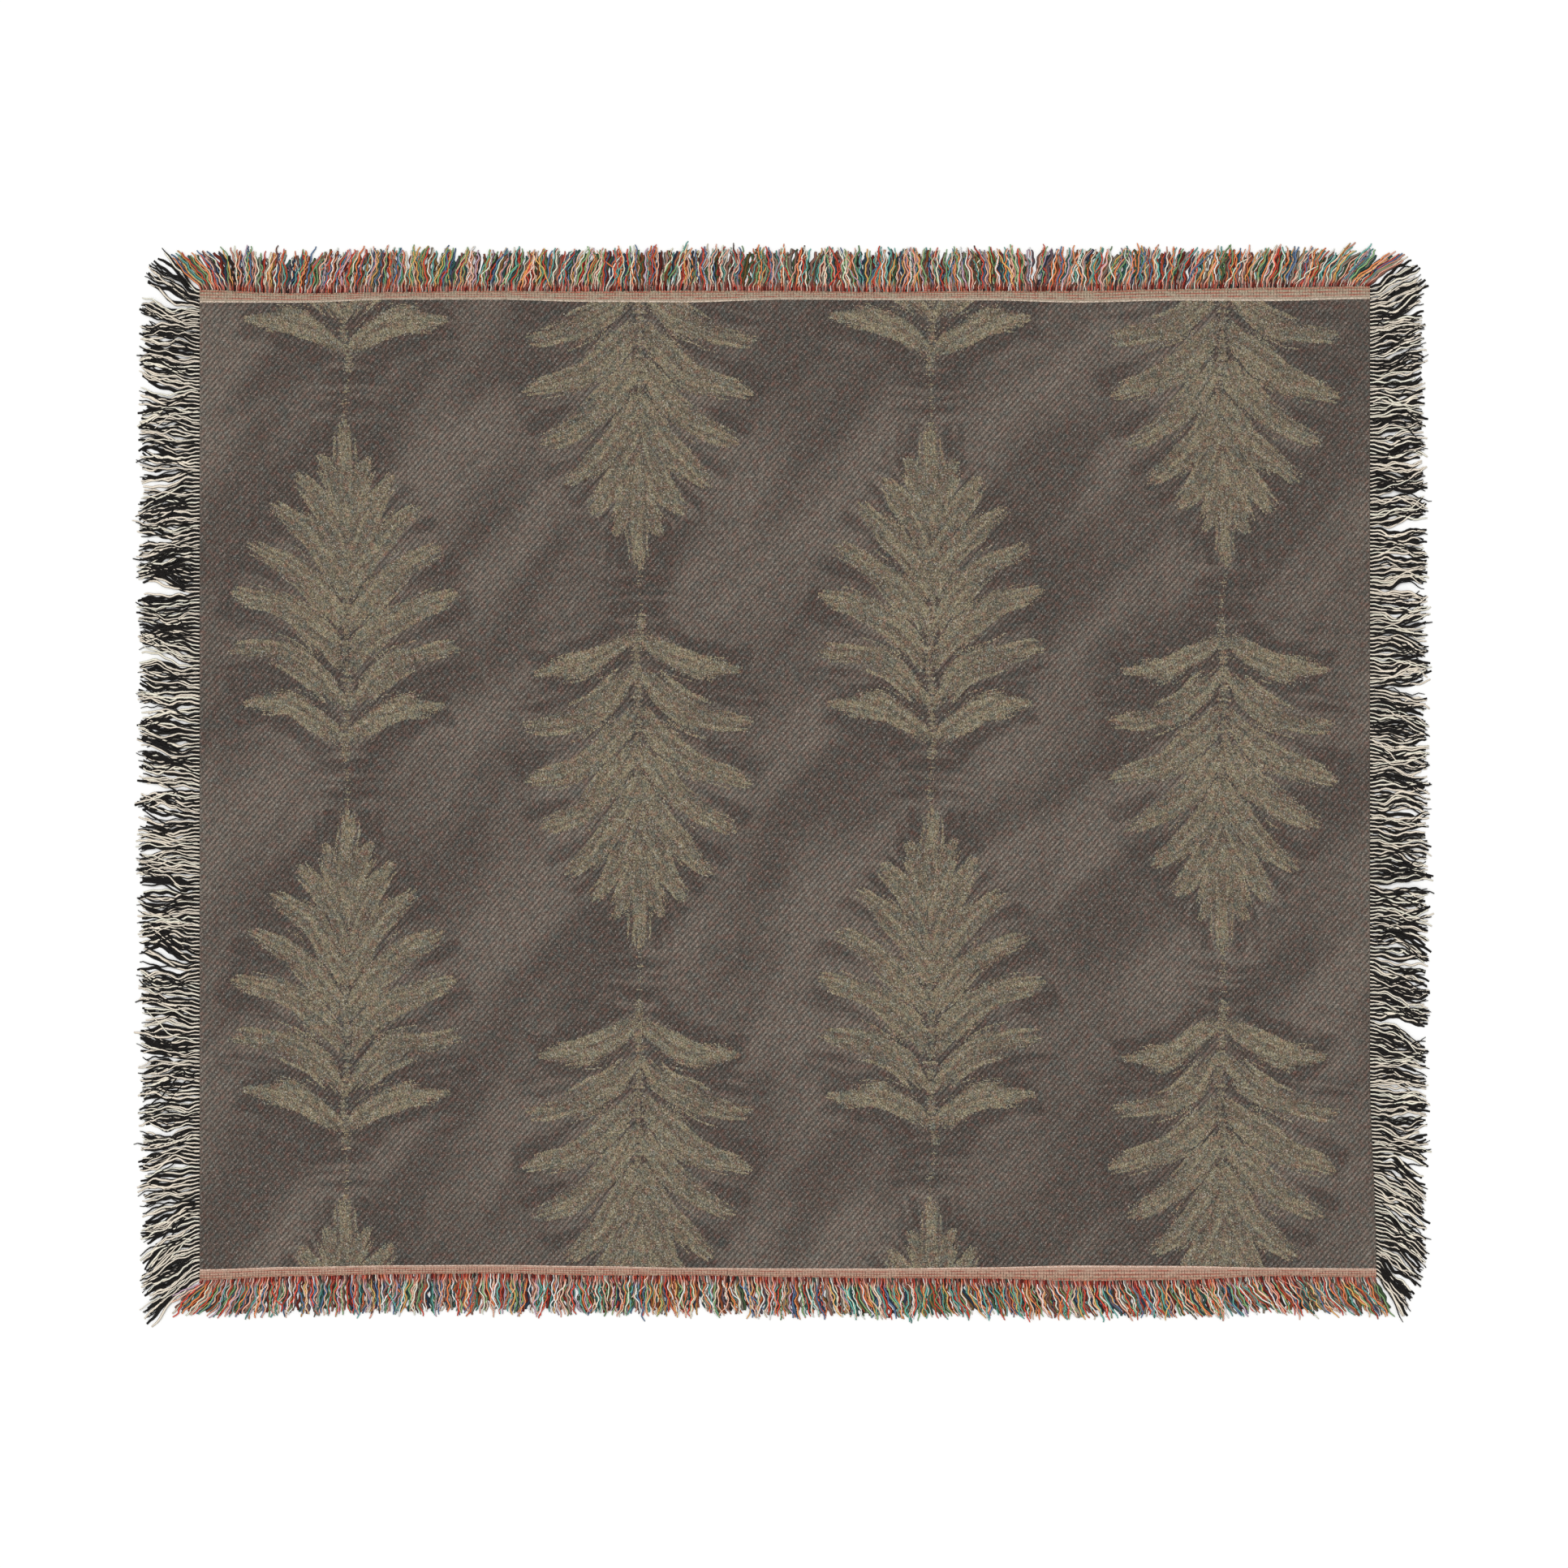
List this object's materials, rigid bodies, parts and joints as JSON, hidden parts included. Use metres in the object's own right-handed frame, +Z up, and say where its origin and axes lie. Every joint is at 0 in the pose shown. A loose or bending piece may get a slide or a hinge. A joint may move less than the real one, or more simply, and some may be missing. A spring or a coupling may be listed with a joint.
{
  "type": "throw blanket",
  "caption": "Flat woven throw blanket with ribbed headings, narrow selvedges and a loose yarn fringe on all sides, for a sofa or bed.",
  "frame": {"origin": "the middle of the cloth, on its underside", "axes": "+X across the throw along its weft, to the right selvedge; +Y along its warp, to the back heading; +Z up out of the face"},
  "size_m": [1.5285, 1.2708, 0.0032],
  "materials": {
    "woven_cloth": "matt cotton cloth, grey brown with khaki leaves",
    "warp_yarn": "matt cotton yarn in russet, salmon, teal, green and slate",
    "weft_yarn": "matt cotton yarn in black and cream by turns"
  },
  "bodies": {
    "root": {"woven_panel": "woven_cloth", "heading_fringe_back": "warp_yarn", "heading_fringe_front": "warp_yarn", "selvedge_fringe_left": "weft_yarn", "selvedge_fringe_right": "weft_yarn"}
  },
  "joints": []
}
